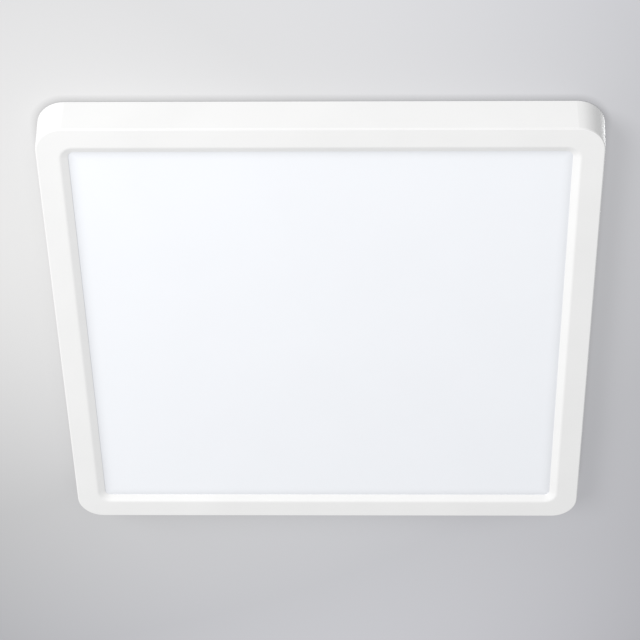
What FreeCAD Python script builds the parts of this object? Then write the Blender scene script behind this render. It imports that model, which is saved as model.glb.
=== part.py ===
import FreeCAD, Part
import Sketcher
import math
import os

# A square, shallow, edge-lit ceiling light. The ceiling is the plane z = 0, the lamp hangs below it,
# and the origin is the middle of the bracket's ceiling face. Lengths are millimetres.

# Driving sizes: every size that can be set by itself, once.
SIZES = (
    # frame
    ("overall_size", 400),
    ("overall_depth", 30),
    ("wall_draft", 1.4),
    ("corner_radius", 19.5),
    ("frame_wall", 2.2),
    ("front_edge_radius", 1),
    ("back_edge_radius", 0.5),
    ("ceiling_gap", 0.5),
    ("rim_width", 16.6),
    ("bevel_width", 5.4),
    ("bevel_depth", 2.6),
    ("bevel_land", 0.4),
    ("bevel_edge_radius", 4),
    ("window_radius", 4.5),
    ("rib_height", 2.4),
    ("rib_thickness", 1.5),
    ("boss_radius", 3.2),
    ("pilot_relief", 0.3),
    ("gusset_thickness", 1.2),
    ("gusset_height", 4.5),
    ("gusset_pitch", 40),
    ("root_overlap", 0.4),
    ("web_step", 1),
    # optical stack
    ("diffuser_thickness", 2),
    ("guide_thickness", 3),
    ("reflector_thickness", 0.3),
    ("foam_thickness", 1.7),
    ("stack_overlap", 6.9),
    ("stack_clearance", 0.4),
    ("foam_clearance", 0.8),
    ("stack_corner_radius", 1.5),
    ("foam_corner_radius", 3),
    ("led_gap", 0.3),
    ("led_depth", 0.8),
    ("led_length", 3.5),
    ("led_height", 1.4),
    ("led_pitch", 9.5),
    ("led_end_margin", 6.5),
    ("board_thickness", 1),
    ("board_floor_gap", 0.9),
    ("board_end_gap", 14.5),
    ("rail_thickness", 1.5),
    ("rail_floor_gap", 0.7),
    ("rail_leg", 11.5),
    ("rail_end_gap", 18.5),
    ("rail_screw_pitch", 130),
    ("rail_screw_inset", 6),
    # tray
    ("tray_thickness", 0.8),
    ("tray_rim_height", 6),
    ("tray_bend_radius", 1.4),
    ("tray_clearance", 0.6),
    ("tray_screw_pitch", 120),
    ("bead_length", 260),
    ("bead_width", 12),
    ("bead_height", 1.2),
    ("bead_offset", 160),
    # sheet metal screws
    ("shank_radius", 1.45),
    ("shank_length", 6),
    ("head_radius", 2.7),
    ("head_height", 1.8),
    ("head_chamfer", 0.6),
    ("recess_length", 2.8),
    ("recess_width", 0.7),
    ("recess_depth", 1),
    ("hole_clearance", 0.25),
    ("thread_clearance", 0.05),
    ("head_clearance", 0.3),
    # the length by which a through cut passes the face
    ("cut_margin", 1),
    # bracket
    ("bracket_length", 220),
    ("bracket_width", 110),
    ("bracket_thickness", 1.2),
    ("bracket_floor_gap", 5),
    ("bracket_bend_radius", 1.6),
    ("bracket_bead_length", 150),
    ("bracket_bead_width", 7),
    ("bracket_bead_depth", 1.2),
    ("bracket_bead_offset", 24),
    ("lip_width", 4.5),
    ("lip_corner_radius", 3),
    ("slot_spacing", 160),
    ("slot_row_spacing", 70),
    ("slot_length", 20),
    ("slot_radius", 2.75),
    ("dish_radius", 15),
    ("dish_depth", 2),
    ("cable_hole_radius", 9),
    ("grommet_flange", 3),
    ("grommet_lip", 1.5),
    ("grommet_edge", 0.7),
    ("grommet_bore_radius", 6),
    # spring clips
    ("clip_width", 20),
    ("clip_thickness", 0.5),
    ("clip_bend_radius", 0.5),
    ("clip_offset", 55),
    ("clip_gap", 3.1),
    ("clip_reach", 4.6),
    ("clip_lip_clearance", 0.5),
    ("clip_tail", 3),
    ("clip_corner", 1.6),
    ("clip_foot_gap", 0.3),
    ("clip_foot_length", 14),
    ("rivet_radius", 1.6),
    ("rivet_head_radius", 2.8),
    ("rivet_head_height", 1),
    ("rivet_pitch", 10),
    # driver
    ("driver_length", 150),
    ("driver_width", 46),
    ("driver_headroom", 1.3),
    ("driver_wall", 1.6),
    ("driver_corner_radius", 3),
    ("driver_gap", 3.4),
    ("driver_cover_thickness", 1.8),
    ("driver_cover_edge", 0.8),
    ("driver_ear_length", 9),
    ("driver_ear_width", 18),
    ("driver_ear_radius", 4),
    ("driver_ear_thickness", 2.4),
    ("cover_fit", 0.2),
    ("cover_lip", 1.2),
    ("circuit_thickness", 1.6),
    ("circuit_standoff", 1),
    ("circuit_clearance", 0.6),
    ("post_radius", 2),
    ("post_end_inset", 20),
    ("post_side_inset", 6),
    ("connector_height", 6.5),
    ("connector_depth", 8),
    ("connector_gap", 2),
    ("core_length", 20),
    ("core_leg", 5),
    ("core_side", 3.5),
    ("core_window", 6),
    ("core_window_height", 5),
    ("core_yoke", 1.6),
    ("coil_fit", 0.2),
    ("coil_end", 2.3),
    ("choke_offset", 34),
    ("choke_row", 8),
    ("choke_radius", 5),
    ("choke_height", 6.5),
    ("choke_flange", 1),
    ("choke_flange_thickness", 0.8),
    ("capacitor_radius", 4),
    ("capacitor_length", 11),
    ("capacitor_row", 9),
    ("input_capacitor_offset", 52),
    ("output_capacitor_offset", 34),
    # terminal block
    ("terminal_offset", 62),
    ("terminal_length", 22),
    ("terminal_height", 11.5),
    ("terminal_edge", 1),
    ("terminal_end_wall", 1),
    ("pole_pitch", 8),
    ("pole_count", 3),
    ("pole_groove_width", 0.6),
    ("pole_groove_depth", 0.5),
    ("terminal_ear_length", 7),
    ("terminal_ear_height", 3),
    ("terminal_ear_width", 9),
    ("terminal_ear_radius", 3),
    ("wire_hole_radius", 1.35),
    ("wire_hole_depth", 3),
    ("wire_hole_mouth", 0.4),
    ("button_length", 6),
    ("button_width", 4.6),
    ("button_stem", 4),
    ("button_height", 2.4),
    ("button_clearance", 0.25),
    ("button_travel", 1.8),
    ("button_edge", 0.6),
    ("well_clearance", 0.4),
    ("contact_height", 3.4),
    ("contact_width", 4),
    ("contact_lift", 0.5),
    ("contact_clearance", 0.1),
    # cable clamp
    ("clamp_gap", 10.5),
    ("clamp_width", 9),
    ("clamp_length", 34),
    ("clamp_bridge", 3.2),
    ("clamp_crown", 2.5),
    ("clamp_end_height", 4),
    ("clamp_seat", 3),
    ("cable_gap_width", 10),
    ("cable_gap_height", 6),
    ("cable_gap_corner", 1.5),
    ("clamp_screw_pitch", 24),
    # leads
    ("mains_lead_radius", 1.2),
    ("mains_lead_height", 2.2),
    ("mains_lead_bend", 6),
    ("mains_lane_gap", 5),
    ("mains_lane_pitch", 4.5),
    ("mains_rise_gap", 6),
    ("mains_rise_run", 12),
    ("lead_board_gap", 0.6),
    ("lead_clearance", 0.15),
    ("led_lead_radius", 0.6),
    ("led_lead_spacing", 1.5),
    ("led_lead_bend", 7),
    ("led_lead_drop_bend", 1.8),
    ("lead_hole_radius", 2.5),
    ("lead_hole_gap", 8.5),
    ("lead_grommet_wall", 0.9),
    ("lead_lift", 0.2),
    ("led_lane_gap", 12),
    ("led_lane_inset", 30),
    ("led_turn_run", 26),
    ("led_drop_run", 14),
    ("led_drop_gap", 16),
    ("led_lane_drop", 8),
    ("led_lead_rows", 1.8),
    ("earth_screw_gap", 36.5),
    ("lug_radius", 4.2),
    ("lug_thickness", 0.8),
    ("lug_neck_width", 4),
    ("lug_neck_root", 2),
    ("barrel_gap", 0.5),
    ("barrel_length", 4.5),
    ("barrel_wall", 0.7),
    ("barrel_seat", 1.8),
    ("saddle_width", 6),
    ("saddle_wall", 1),
    ("saddle_foot", 2),
    ("saddle_clearance", 0.3),
    ("saddle_pitch", 70),
)

# Places that follow from the sizes.
PLACES = (
    ("front_half", "sizes.overall_size / 2 - sizes.wall_draft"),
    ("draft_angle", "atan(sizes.wall_draft / sizes.overall_depth)"),
    ("draft_slope", "sizes.wall_draft / sizes.overall_depth"),
    ("front_face", "-sizes.overall_depth"),
    ("seat", "front_face + sizes.bevel_depth + sizes.bevel_land"),
    ("guide_face", "seat + sizes.diffuser_thickness"),
    ("reflector_face", "guide_face + sizes.guide_thickness"),
    ("foam_face", "reflector_face + sizes.reflector_thickness"),
    ("tray_face", "foam_face + sizes.foam_thickness"),
    ("tray_back", "tray_face + sizes.tray_thickness"),
    ("rim_half", "front_half - sizes.rim_width"),
    ("window_half", "rim_half - sizes.bevel_width"),
    ("wall_half", "front_half - sizes.frame_wall + draft_slope * (seat - front_face)"),
    ("stack_half", "window_half + sizes.stack_overlap"),
    ("led_face", "stack_half + sizes.led_gap"),
    ("board_face", "led_face + sizes.led_depth"),
    ("rail_face", "board_face + sizes.board_thickness"),
    ("rail_back", "rail_face + sizes.rail_thickness"),
    ("rib_half", "rail_back + sizes.stack_clearance"),
    ("board_half", "rib_half - sizes.board_end_gap"),
    ("rail_half", "rib_half - sizes.rail_end_gap"),
    ("led_count", "floor((board_half - sizes.led_end_margin) * 2 / sizes.led_pitch) + 1"),
    ("board_low", "seat + sizes.board_floor_gap"),
    ("rail_low", "seat + sizes.rail_floor_gap"),
    ("gusset_count", "floor((wall_half - sizes.corner_radius) * 2 / sizes.gusset_pitch)"),
    ("stack_half_long", "rib_half - sizes.stack_clearance"),
    ("rail_leg_face", "tray_face - sizes.rail_thickness"),
    ("rail_screw_line", "rail_back - sizes.rail_screw_inset"),
    ("tray_half", "front_half - sizes.frame_wall - sizes.tray_clearance"),
    ("tray_corner", "sizes.corner_radius - sizes.frame_wall - sizes.tray_clearance"),
    ("boss_line", "tray_half - sizes.tray_bend_radius - sizes.head_radius - sizes.head_clearance"),
    ("pilot_depth", "sizes.shank_length - sizes.tray_thickness + sizes.pilot_relief"),
    ("screw_hole_radius", "sizes.shank_radius + sizes.hole_clearance"),
    ("pilot_radius", "sizes.shank_radius + sizes.thread_clearance"),
    ("flange_half", "sizes.bracket_width / 2"),
    ("lip_half", "flange_half + sizes.lip_width"),
    ("bracket_height", "-tray_back - sizes.bracket_floor_gap"),
    ("lip_top", "sizes.bracket_thickness - bracket_height"),
    ("clip_leg", "lip_half + sizes.clip_gap"),
    ("clip_bend", "lip_top + sizes.clip_lip_clearance - sizes.clip_gap"),
    ("clip_nose", "clip_bend + sizes.clip_reach"),
    ("clip_top", "clip_nose + sizes.clip_tail"),
    ("clip_miter", "sizes.clip_thickness * tan(22.5 deg)"),
    ("clip_slant", "sizes.clip_thickness * sqrt(2)"),
    ("clip_foot", "tray_back + sizes.clip_thickness + sizes.clip_foot_gap"),
    ("rivet_line", "clip_leg + sizes.clip_thickness + sizes.clip_foot_length / 2"),
    ("foot_end", "rivet_line + sizes.clip_foot_length / 2 + sizes.clip_thickness"),
    ("driver_line", "foot_end + sizes.driver_gap + sizes.driver_width / 2"),
    ("driver_floor", "tray_back + sizes.driver_wall"),
    ("circuit_face", "driver_floor + sizes.circuit_standoff"),
    ("circuit_top", "circuit_face + sizes.circuit_thickness"),
    ("core_height", "sizes.core_yoke * 2 + sizes.core_window_height"),
    ("cover_face", "circuit_top + core_height + sizes.driver_headroom"),
    ("driver_ear", "(sizes.driver_length + sizes.driver_ear_length) / 2"),
    ("driver_end", "sizes.driver_length / 2 + sizes.driver_ear_length"),
    ("connector_place", "sizes.driver_length / 2 - sizes.driver_wall - sizes.connector_depth - sizes.connector_gap"),
    ("terminal_width", "sizes.pole_pitch * sizes.pole_count + sizes.terminal_end_wall * 2"),
    ("terminal_screw_line", "(terminal_width + sizes.terminal_ear_length) / 2"),
    ("terminal_top", "tray_back + sizes.terminal_height"),
    ("well_floor", "terminal_top - sizes.button_stem - sizes.button_travel - sizes.well_clearance"),
    ("clamp_line", "sizes.terminal_offset - (sizes.terminal_length + sizes.clamp_width) / 2 - sizes.clamp_gap"),
    ("mains_lead_line", "tray_back + sizes.mains_lead_height"),
    ("driver_lead_line", "circuit_top + sizes.mains_lead_radius + sizes.lead_board_gap"),
    ("lead_hole_line", "board_face + sizes.board_thickness / 2"),
    ("lead_hole_place", "board_half + sizes.lead_hole_gap"),
    ("led_lane", "driver_line + sizes.driver_width / 2 + sizes.led_lane_gap"),
    ("led_lane_end", "lead_hole_line - sizes.led_lane_inset"),
    ("led_turn", "sizes.driver_length / 2 + sizes.led_turn_run"),
    ("earth_line", "sizes.terminal_offset + sizes.terminal_length"),
    ("earth_screw_line", "lip_half + sizes.earth_screw_gap"),
)

Z_AXIS = FreeCAD.Vector(0, 0, 1)

doc = FreeCAD.newDocument("ceiling_light")


# Sheets and expressions

def add_sheet(name, rows):
    sheet = doc.addObject("Spreadsheet::Sheet", name)
    for row, (alias, content) in enumerate(rows, 1):
        sheet.set(f"A{row}", alias)
        sheet.set(f"B{row}", content)
        sheet.setAlias(f"B{row}", alias)
    return sheet


sizes = add_sheet("sizes", [(alias, f"{number:g}") for alias, number in SIZES])
places = add_sheet("places", [(alias, "=" + formula) for alias, formula in PLACES])
doc.recompute()


def value(expression):
    found = places.evalExpression(expression)
    return float(getattr(found, "Value", found))


def size(alias):
    return value("sizes." + alias)


def place(alias):
    return value("places." + alias)


def bind(thing, settings):
    for name, expression in settings.items():
        thing.setExpression(name, expression)
    return thing


def put(thing, x="0", y="0", z="0", turn=None):
    """Places an object at x, y, z, turned about the vertical."""
    bind(thing, {"Placement.Base.x": x, "Placement.Base.y": y, "Placement.Base.z": z})
    if turn:
        thing.Placement = FreeCAD.Placement(thing.Placement.Base, FreeCAD.Rotation(Z_AXIS, turn))
    return thing


# Primitives and booleans

parts = {}


def keep(name, thing):
    """Makes an object the sub-part of that name."""
    thing.Label = name
    parts[name] = thing
    return thing


def box(name, x, y, z, length, width, height):
    """A box that is centred on x and y and stands on z."""
    block = doc.addObject("Part::Box", name)
    bind(block, {"Length": length, "Width": width, "Height": height})
    return put(block, f"({x}) - ({length}) / 2", f"({y}) - ({width}) / 2", z)


def cylinder(name, x, y, z, radius, height):
    """An upright cylinder that stands on z."""
    rod = doc.addObject("Part::Cylinder", name)
    bind(rod, {"Radius": radius, "Height": height})
    return put(rod, x, y, z)


def crowned(name, x, y, z, radius, height):
    """An upright cylinder whose top edge is chamfered."""
    skirt = cylinder(name + "_skirt", x, y, z, radius, f"{height} - sizes.head_chamfer")
    crown = doc.addObject("Part::Cone", name + "_crown")
    bind(crown, {"Radius1": radius, "Radius2": f"{radius} - sizes.head_chamfer", "Height": "sizes.head_chamfer"})
    put(crown, x, y, f"({z}) + {height} - sizes.head_chamfer")
    return [skirt, crown]


def lying_cylinder(name, x, y, z, radius, length, along):
    """A cylinder along x or y, from the given point."""
    rod = doc.addObject("Part::Cylinder", name)
    bind(rod, {"Radius": radius, "Height": length})
    turn = {"x": FreeCAD.Rotation(FreeCAD.Vector(0, 1, 0), 90), "y": FreeCAD.Rotation(FreeCAD.Vector(1, 0, 0), -90)}
    rod.Placement = FreeCAD.Placement(FreeCAD.Vector(), turn[along])
    return put(rod, x, y, z)


def group(name, things):
    """Separate solids as one object."""
    bundle = doc.addObject("Part::Compound", name)
    bundle.Links = things
    return bundle


def fuse(name, things):
    whole = doc.addObject("Part::MultiFuse", name)
    whole.Shapes = things
    return whole


def cut(name, base, tools):
    whole = doc.addObject("Part::Cut", name)
    whole.Base = base
    whole.Tool = tools[0] if len(tools) == 1 else group(name + "_tools", tools)
    return whole


# Bodies and sketches

def add_body(name):
    body = doc.addObject("PartDesign::Body", name)
    return keep(name, body)


def origin_plane(body, role):
    return next(item for item in body.Origin.OriginFeatures if item.Role == role)


def add_sketch(body, name, plane="XY_Plane", x="0", y="0", offset="0"):
    sketch = body.newObject("Sketcher::SketchObject", name)
    sketch.AttachmentSupport = [(origin_plane(body, plane), "")]
    sketch.MapMode = "FlatFace"
    shift = {"AttachmentOffset.Base.x": x, "AttachmentOffset.Base.y": y, "AttachmentOffset.Base.z": offset}
    return bind(sketch, shift)


def dimension(sketch, kind, picks, expression):
    """A driving dimension that follows an expression."""
    index = sketch.addConstraint(Sketcher.Constraint(kind, *picks, value(expression)))
    sketch.setExpression(f"Constraints[{index}]", expression)


def pin(sketch, geometry, vertex, x, y):
    """Fixes a vertex at x, y."""
    for kind, expression in (("DistanceX", x), ("DistanceY", y)):
        if value(expression) < 0:
            dimension(sketch, kind, (geometry, vertex, -1, 1), f"-({expression})")
        else:
            dimension(sketch, kind, (-1, 1, geometry, vertex), expression)


def draw_circle(sketch, x, y, radius):
    centre = FreeCAD.Vector(value(x), value(y), 0)
    circle = sketch.addGeometry(Part.Circle(centre, Z_AXIS, value(radius)))
    dimension(sketch, "Radius", (circle,), radius)
    pin(sketch, circle, 3, x, y)


def draw_outline(sketch, points):
    """A closed outline through points, each a pair of expressions."""
    corners = [FreeCAD.Vector(value(x), value(y), 0) for x, y in points]
    first = sketch.GeometryCount
    count = len(points)
    for index in range(count):
        sketch.addGeometry(Part.LineSegment(corners[index], corners[(index + 1) % count]))
    for index in range(count):
        following = first + (index + 1) % count
        sketch.addConstraint(Sketcher.Constraint("Coincident", first + index, 2, following, 1))
    for index, (x, y) in enumerate(points):
        pin(sketch, first + index, 1, x, y)


def draw_rectangle(sketch, x, y, length, width):
    low_x, high_x = f"({x}) - ({length}) / 2", f"({x}) + ({length}) / 2"
    low_y, high_y = f"({y}) - ({width}) / 2", f"({y}) + ({width}) / 2"
    draw_outline(sketch, [(low_x, low_y), (high_x, low_y), (high_x, high_y), (low_x, high_y)])


def draw_rounded(sketch, length, width, radius):
    """A rectangle with rounded corners about the sketch's origin."""
    half_x, half_y, bend = value(length) / 2, value(width) / 2, value(radius)
    near_x, near_y = half_x - bend, half_y - bend
    sides = (((-near_x, -half_y), (near_x, -half_y)), ((half_x, -near_y), (half_x, near_y)),
             ((near_x, half_y), (-near_x, half_y)), ((-half_x, near_y), (-half_x, -near_y)))
    centres = ((near_x, -near_y), (near_x, near_y), (-near_x, near_y), (-near_x, -near_y))
    first = sketch.GeometryCount
    for quarter, ((start, end), centre) in enumerate(zip(sides, centres)):
        sketch.addGeometry(Part.LineSegment(FreeCAD.Vector(*start, 0), FreeCAD.Vector(*end, 0)))
        circle = Part.Circle(FreeCAD.Vector(*centre, 0), Z_AXIS, bend)
        opening = math.pi / 2 * (quarter - 1)
        sketch.addGeometry(Part.ArcOfCircle(circle, opening, opening + math.pi / 2))
    for line in range(0, 8, 2):
        arc, following = first + line + 1, first + (line + 2) % 8
        sketch.addConstraint(Sketcher.Constraint("Tangent", first + line, 2, arc, 1))
        sketch.addConstraint(Sketcher.Constraint("Tangent", arc, 2, following, 1))
        sketch.addConstraint(Sketcher.Constraint("Vertical" if line % 4 else "Horizontal", first + line))
        if line:
            sketch.addConstraint(Sketcher.Constraint("Equal", first + 1, arc))
    sketch.addConstraint(Sketcher.Constraint("Symmetric", first, 1, first + 4, 1, -1, 1))
    dimension(sketch, "DistanceX", (first + 6, 1, first + 2, 1), length)
    dimension(sketch, "DistanceY", (first, 1, first + 4, 1), width)
    dimension(sketch, "Radius", (first + 1,), radius)


def draw_slot(sketch, x, y, length, radius):
    """A slot along x, of that overall length."""
    middle_x, middle_y = value(x), value(y)
    reach, bend = value(length) / 2 - value(radius), value(radius)
    right = Part.Circle(FreeCAD.Vector(middle_x + reach, middle_y, 0), Z_AXIS, bend)
    left = Part.Circle(FreeCAD.Vector(middle_x - reach, middle_y, 0), Z_AXIS, bend)
    low_left = FreeCAD.Vector(middle_x - reach, middle_y - bend, 0)
    low_right = FreeCAD.Vector(middle_x + reach, middle_y - bend, 0)
    high_left = FreeCAD.Vector(middle_x - reach, middle_y + bend, 0)
    high_right = FreeCAD.Vector(middle_x + reach, middle_y + bend, 0)
    low = sketch.addGeometry(Part.LineSegment(low_left, low_right))
    end = sketch.addGeometry(Part.ArcOfCircle(right, -math.pi / 2, math.pi / 2))
    high = sketch.addGeometry(Part.LineSegment(high_right, high_left))
    start = sketch.addGeometry(Part.ArcOfCircle(left, math.pi / 2, 3 * math.pi / 2))
    for before, after in ((low, end), (end, high), (high, start), (start, low)):
        sketch.addConstraint(Sketcher.Constraint("Tangent", before, 2, after, 1))
    sketch.addConstraint(Sketcher.Constraint("Horizontal", low))
    dimension(sketch, "Radius", (end,), radius)
    pin(sketch, end, 3, f"({x}) + ({length}) / 2 - ({radius})", y)
    pin(sketch, start, 3, f"({x}) - ({length}) / 2 + ({radius})", y)


def pad(body, sketch, length, **options):
    return extrude(body, "PartDesign::Pad", sketch, length, options)


def pocket(body, sketch, length, **options):
    """A pocket, whose direction is checked by what it takes away."""
    before = body.Shape.Volume
    feature = extrude(body, "PartDesign::Pocket", sketch, length, options)
    if not feature.Shape.Volume < before - 1e-3:
        raise RuntimeError(f"{feature.Name} takes nothing away")
    return feature


def extrude(body, kind, sketch, length, options):
    feature = body.newObject(kind, sketch.Name + ("_pad" if kind.endswith("Pad") else "_pocket"))
    feature.Profile = sketch
    feature.setExpression("Length", length)
    for name, option in options.items():
        if name == "TaperAngle":
            feature.setExpression(name, option)
        else:
            setattr(feature, name, option)
    doc.recompute()
    return feature


def edges_where(shape, test):
    return [f"Edge{index}" for index, edge in enumerate(shape.Edges, 1) if test(edge)]


def fillet(body, base, radius, test):
    """Rounds the edges of the last feature that pass the test."""
    feature = body.newObject("PartDesign::Fillet", base.Name + "_round")
    feature.Base = (base, edges_where(base.Shape, test))
    feature.setExpression("Radius", radius)
    doc.recompute()
    return feature


def polar(body, feature, count):
    """Repeats a feature about the vertical axis."""
    axis = next(item for item in body.Origin.OriginFeatures if item.Role == "Z_Axis")
    pattern = body.newObject("PartDesign::PolarPattern", feature.Name + "_pattern")
    pattern.Originals = [feature]
    pattern.Axis = (axis, [""])
    pattern.Angle = 360
    pattern.Occurrences = count
    body.Tip = pattern
    doc.recompute()
    return pattern


def reach(edge):
    """The furthest that an edge lies from the middle, along x or y."""
    bounds = edge.BoundBox
    return max(bounds.XMax, -bounds.XMin, bounds.YMax, -bounds.YMin)


def lies_at(edge, level):
    """True for an edge in the horizontal plane at that level."""
    bounds = edge.BoundBox
    return bounds.ZLength < 1e-6 and abs(bounds.ZMin - level) < 1e-6


def runs_along_x(edge, y, z):
    """True for an edge along x at y, z, on either side of the middle."""
    bounds = edge.BoundBox
    return (bounds.YLength + bounds.ZLength < 1e-6 and abs(abs(bounds.YMin) - y) < 1e-6
            and abs(bounds.ZMin - z) < 1e-6)


def is_mouth(edge, x):
    """True for a circle in the plane across x."""
    return isinstance(edge.Curve, Part.Circle) and edge.BoundBox.XLength < 1e-6 and abs(edge.BoundBox.XMin - x) < 1e-6


def screw(name, x, y, level, length="sizes.shank_length"):
    """A screw whose cross-recessed head sits on a level, with its shank below."""
    head = crowned(name + "_head", x, y, level, "sizes.head_radius", "sizes.head_height")
    shank = cylinder(name + "_shank", x, y, f"({level}) - ({length})", "sizes.shank_radius", length)
    floor = f"({level}) + sizes.head_height - sizes.recess_depth"
    depth = "sizes.recess_depth + sizes.cut_margin"
    recess = [box(name + "_recess_x", x, y, floor, "sizes.recess_length", "sizes.recess_width", depth),
              box(name + "_recess_y", x, y, floor, "sizes.recess_width", "sizes.recess_length", depth)]
    return cut(name, fuse(name + "_blank", [*head, shank]), recess)


def steps(count):
    """Evenly spaced steps about the middle, such as -1, 0, 1."""
    return [index - (count - 1) / 2 for index in range(int(count))]


# Frame

def make_frame():
    """The moulded frame: drafted walls, rim, rounded bevel, window, locating rib, screw bosses and gussets."""
    body = add_body("frame")
    outline = add_sketch(body, "frame_outline", offset="places.front_face")
    draw_rounded(outline, "places.front_half * 2", "places.front_half * 2", "sizes.corner_radius")
    pad(body, outline, "sizes.overall_depth - sizes.ceiling_gap", TaperAngle="places.draft_angle")

    hollow = add_sketch(body, "frame_hollow", offset="places.seat")
    inner_radius = "sizes.corner_radius - sizes.frame_wall + places.draft_slope * (places.seat - places.front_face)"
    draw_rounded(hollow, "places.wall_half * 2", "places.wall_half * 2", inner_radius)
    pocket(body, hollow, "-places.seat", Reversed=True, TaperAngle="places.draft_angle")

    window = add_sketch(body, "frame_window", offset="places.seat")
    draw_rounded(window, "places.window_half * 2", "places.window_half * 2", "sizes.window_radius")
    pocket(body, window, "places.seat - places.front_face + sizes.cut_margin")

    bevel_front = add_sketch(body, "bevel_front", offset="places.front_face")
    draw_rounded(bevel_front, "places.rim_half * 2", "places.rim_half * 2",
                 "sizes.window_radius + sizes.bevel_width")
    bevel_back = add_sketch(body, "bevel_back", offset="places.front_face + sizes.bevel_depth")
    draw_rounded(bevel_back, "places.window_half * 2", "places.window_half * 2", "sizes.window_radius")
    bevel = body.newObject("PartDesign::SubtractiveLoft", "bevel")
    bevel.Profile = bevel_front
    bevel.Sections = [bevel_back]
    bevel.Ruled = True
    doc.recompute()

    front, outer = place("front_face"), place("front_half") - 1e-3
    edged = fillet(body, bevel, "sizes.front_edge_radius", lambda edge: lies_at(edge, front) and reach(edge) > outer)
    inner = place("rim_half") + 1e-3
    rounded = fillet(body, edged, "sizes.bevel_edge_radius",
                     lambda edge: lies_at(edge, front) and reach(edge) < inner)
    fillet(body, rounded, "sizes.back_edge_radius", lambda edge: lies_at(edge, -size("ceiling_gap")))

    rib = add_sketch(body, "locating_rib", offset="places.seat")
    rib_outer = "(places.rib_half + sizes.rib_thickness) * 2"
    draw_rectangle(rib, "0", "0", rib_outer, rib_outer)
    draw_rectangle(rib, "0", "0", "places.rib_half * 2", "places.rib_half * 2")
    pad(body, rib, "sizes.rib_height")

    gussets = add_sketch(body, "gussets", offset="places.seat")
    root = "(places.rib_half + sizes.rib_thickness - sizes.root_overlap)"
    span = f"(places.wall_half + sizes.root_overlap - {root})"
    for step in steps(place("gusset_count")):
        along = f"{step} * sizes.gusset_pitch"
        draw_rectangle(gussets, f"{root} + {span} / 2", along, span, "sizes.gusset_thickness")
    polar(body, pad(body, gussets, "sizes.gusset_height"), 4)

    bosses = add_sketch(body, "screw_bosses", offset="places.seat")
    for step in steps(3):
        draw_circle(bosses, "places.boss_line", f"{step:g} * sizes.tray_screw_pitch", "sizes.boss_radius")
    polar(body, pad(body, bosses, "places.tray_face - places.seat"), 4)

    webs = add_sketch(body, "boss_webs", offset="places.seat")
    web = "(places.wall_half + sizes.root_overlap - places.boss_line)"
    for step in steps(3):
        along = f"{step:g} * sizes.tray_screw_pitch"
        draw_rectangle(webs, f"places.boss_line + {web} / 2", along, web, "sizes.gusset_thickness")
    polar(body, pad(body, webs, "places.tray_face - places.seat - sizes.web_step"), 4)

    pilots = add_sketch(body, "pilot_holes", offset="places.tray_face")
    for step in steps(3):
        draw_circle(pilots, "places.boss_line", f"{step:g} * sizes.tray_screw_pitch", "places.pilot_radius")
    polar(body, pocket(body, pilots, "places.pilot_depth"), 4)


# Optical stack

def make_stack():
    """Diffuser, light guide, reflector sheet and foam pad, face to face."""
    for name, level, thickness in (("diffuser", "places.seat", "sizes.diffuser_thickness"),
                                   ("light_guide", "places.guide_face", "sizes.guide_thickness"),
                                   ("reflector_sheet", "places.reflector_face", "sizes.reflector_thickness")):
        body = add_body(name)
        outline = add_sketch(body, name + "_outline", offset=level)
        draw_rounded(outline, "places.stack_half * 2", "places.stack_half_long * 2", "sizes.stack_corner_radius")
        pad(body, outline, thickness)
    body = add_body("foam_pad")
    outline = add_sketch(body, "foam_outline", offset="places.foam_face")
    foam_half = "(places.rail_back - sizes.rail_leg - sizes.foam_clearance)"
    draw_rounded(outline, f"{foam_half} * 2", "(places.stack_half_long - sizes.foam_clearance) * 2",
                 "sizes.foam_corner_radius")
    pad(body, outline, "sizes.foam_thickness")


def make_lighting(side, sign):
    """The LED board, its LEDs and the aluminium rail on one side."""
    board = box(f"board_{side}", f"{sign} * (places.board_face + sizes.board_thickness / 2)", "0",
                "places.board_low", "sizes.board_thickness", "places.board_half * 2",
                "places.rail_leg_face - places.board_low")
    keep(f"led_board_{side}", board)

    level = "(places.guide_face + places.reflector_face - sizes.led_height) / 2"
    packages = []
    for index, step in enumerate(steps(place("led_count"))):
        packages.append(box(f"led_{side}_{index}", f"{sign} * (places.led_face + sizes.led_depth / 2)",
                            f"{step} * sizes.led_pitch", level, "sizes.led_depth", "sizes.led_length",
                            "sizes.led_height"))
    keep(f"leds_{side}", group(f"led_row_{side}", packages))

    body = add_body(f"led_rail_{side}")
    section = add_sketch(body, f"rail_section_{side}", plane="XZ_Plane")
    points = [("places.rail_face", "places.rail_low"), ("places.rail_back", "places.rail_low"),
              ("places.rail_back", "places.tray_face"),
              ("places.rail_back - sizes.rail_leg", "places.tray_face"),
              ("places.rail_back - sizes.rail_leg", "places.rail_leg_face"),
              ("places.rail_face", "places.rail_leg_face")]
    draw_outline(section, [(f"{sign} * ({x})", z) for x, z in points])
    pad(body, section, "places.rail_half * 2", Midplane=True)
    holes = add_sketch(body, f"rail_holes_{side}", offset="places.tray_face")
    for step in steps(3):
        draw_circle(holes, f"{sign} * places.rail_screw_line", f"{step:g} * sizes.rail_screw_pitch",
                    "places.pilot_radius")
    pocket(body, holes, "sizes.rail_thickness")


# Tray

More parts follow.
